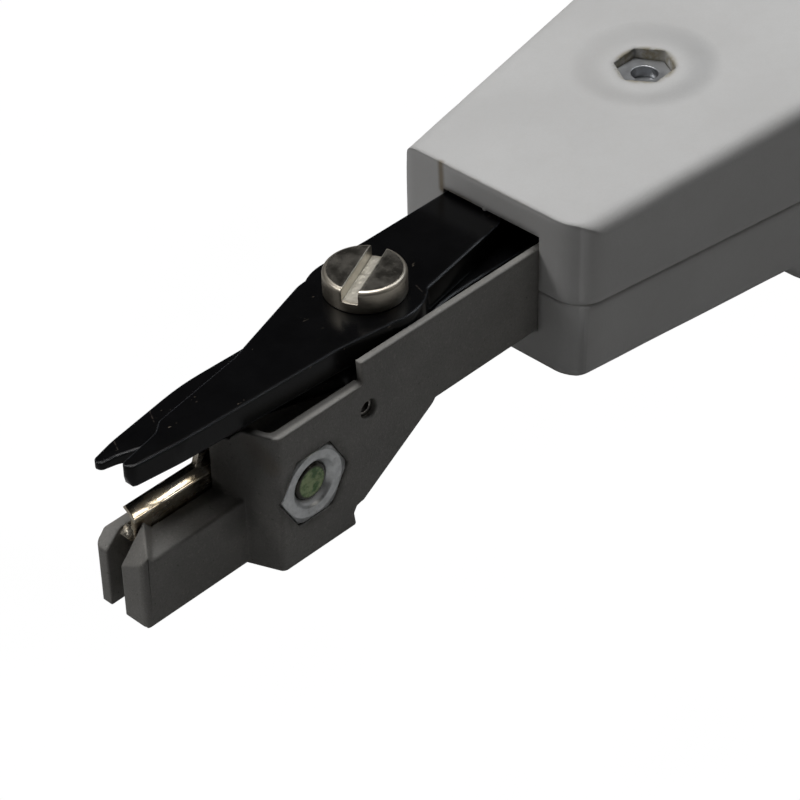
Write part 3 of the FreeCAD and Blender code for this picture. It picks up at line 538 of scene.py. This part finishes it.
SPRINGS = {
    "main_spring": ("handle", "head"),
    "sensor_spring": ("head", "sensor"),
}
SPLIT_SPRING = "scissor_spring"


def stretching_spring(node, behind, ahead):
    """A coil with softened edges, left where the CAD puts it."""
    piece = soften(node)
    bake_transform(piece)


def spring_leg(name, side):
    """Half of the hairpin spring, cut at its middle and left where the CAD puts it."""
    low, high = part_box(SPLIT_SPRING)
    core = (low + high) / 2
    mesh = softened_mesh(SPLIT_SPRING, PLAIN_EDGE)
    work = bmesh.new()
    work.from_mesh(mesh)
    everything = work.verts[:] + work.edges[:] + work.faces[:]
    cut = bmesh.ops.bisect_plane(
        work, geom=everything, plane_co=core, plane_no=(0, -side, 0), clear_outer=True
    )
    rim = [e for e in cut["geom_cut"] if isinstance(e, bmesh.types.BMEdge)]
    bmesh.ops.holes_fill(work, edges=rim, sides=0)
    work.to_mesh(mesh)
    work.free()
    piece = add_piece(name, mesh, SLOT_OF[SPLIT_SPRING])
    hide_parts(SPLIT_SPRING)
    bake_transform(piece)


for node_name in frame["nodes"]:
    if node_name in SPRINGS:
        stretching_spring(node_name, *SPRINGS[node_name])
    elif node_name == SPLIT_SPRING:
        spring_leg("scissor_spring_near_leg", 1)
        spring_leg("scissor_spring_far_leg", -1)
    else:
        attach(soften(node_name), BODY_OF[node_name])


def mouth_flash():
    """A scrap of moulding flash left hanging from the top edge of the handle's mouth."""
    top, foot = 0.5, 0.07
    outline = [(-0.28, top), (-0.30, 0.30), (-0.12, foot), (0.05, 0.11), (0.26, 0.28), (0.24, top)]
    work = bmesh.new()
    rings = []
    for x, shrink in ((-12.75, 0.8), (-12.52, 1.0), (-12.44, 0.8)):
        ring = [work.verts.new(at(x, -0.2 + y * shrink, top + (z - top) * shrink)) for y, z in outline]
        rings.append(ring)
    for back, ahead in zip(rings, rings[1:]):
        for i in range(len(outline)):
            j = (i + 1) % len(outline)
            work.faces.new((back[i], back[j], ahead[j], ahead[i]))
    work.faces.new(rings[0])
    work.faces.new(rings[-1])
    bmesh.ops.recalc_face_normals(work, faces=work.faces[:])
    mesh = bpy.data.meshes.new("mouth_flash")
    work.to_mesh(mesh)
    work.free()
    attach(add_piece("mouth_flash", mesh, "handle_plastic"), BODY_OF["upper_shell"])


mouth_flash()


# ------------------------------------------------------------------ stage
def backdrop():
    """A plain pale floor: bright to the camera, dim to the object, as in a tent with a dark table."""
    half = 1.5
    mesh = bpy.data.meshes.new("floor")
    corners = [(-half, -half, 0), (half, -half, 0), (half, half, 0), (-half, half, 0)]
    mesh.from_pydata(corners, [], [(0, 1, 2, 3)])
    floor = bpy.data.objects.new("floor", mesh)
    bpy.context.scene.collection.objects.link(floor)
    s = Shader("floor")
    grain = s.noise(40, 2)
    dim = s.shade(s.mix(grain, (0.27, 0.27, 0.27), (0.31, 0.31, 0.31)), 0.9)
    pale = s.add("ShaderNodeEmission")
    s.put(s.mix(grain, (0.97, 0.97, 0.97), (1.0, 1.0, 1.0)), pale.inputs["Color"])
    pale.inputs["Strength"].default_value = 1.02
    pick = s.add("ShaderNodeMixShader")
    s.put(s.add("ShaderNodeLightPath").outputs["Is Camera Ray"], pick.inputs["Fac"])
    s.tree.links.new(dim, pick.inputs[1])
    s.tree.links.new(pale.outputs[0], pick.inputs[2])
    out = s.add("ShaderNodeOutputMaterial")
    s.tree.links.new(pick.outputs[0], out.inputs["Surface"])
    dress(floor, s.material)


def area_light(name, place, aim, size, power, color=(1, 1, 1)):
    data = bpy.data.lights.new(name, "AREA")
    data.shape = "DISK"
    data.size = size
    data.energy = power
    data.color = color
    light = bpy.data.objects.new(name, data)
    light.location = place
    light.rotation_euler = (aim - place).to_track_quat("-Z", "Y").to_euler()
    bpy.context.scene.collection.objects.link(light)


def lights():
    aim = PIVOT
    area_light("overhead", aim + Vector((-0.10, -0.14, 0.70)), aim, 0.40, 3.75)
    area_light("left", aim + Vector((0.44, -0.30, 0.42)), aim, 0.20, 1.05)
    area_light("behind", aim + Vector((-0.50, 0.08, 0.55)), aim, 0.20, 0.75, (0.88, 0.94, 1.0))
    area_light("right", aim + Vector((-0.34, 0.54, 0.34)), aim, 0.10, 0.10, (1.0, 0.95, 0.86))
    world = bpy.data.worlds.new("studio")
    world.use_nodes = True
    background = world.node_tree.nodes["Background"]
    background.inputs["Color"].default_value = (1.0, 1.0, 1.0, 1.0)
    background.inputs["Strength"].default_value = 0.03
    bpy.context.scene.world = world


def camera():
    """Looks at the scissor screw from the near side of the nose, 38 degrees above the bench."""
    azimuth = math.radians(134.51)
    elevation = math.radians(38.11)
    roll = math.radians(-1.39)
    place = PIVOT + Vector((114.24, 115.42, 117.53)) * MM
    level = math.cos(elevation)
    ahead = Vector((-math.sin(azimuth) * level, math.cos(azimuth) * level, -math.sin(elevation)))
    side = ahead.cross(Vector((0, 0, 1))).normalized()
    up = side.cross(ahead)
    turn = Matrix((side, up, -ahead)).transposed().to_4x4()
    data = bpy.data.cameras.new("camera")
    data.lens = 129.97
    data.sensor_width = 36.0
    data.clip_start = 0.01
    view = bpy.data.objects.new("camera", data)
    view.matrix_world = Matrix.Translation(place) @ turn @ Matrix.Rotation(roll, 4, "Z")
    bpy.context.scene.collection.objects.link(view)
    bpy.context.scene.camera = view


backdrop()
lights()
camera()
bpy.context.scene.view_settings.view_transform = "Standard"
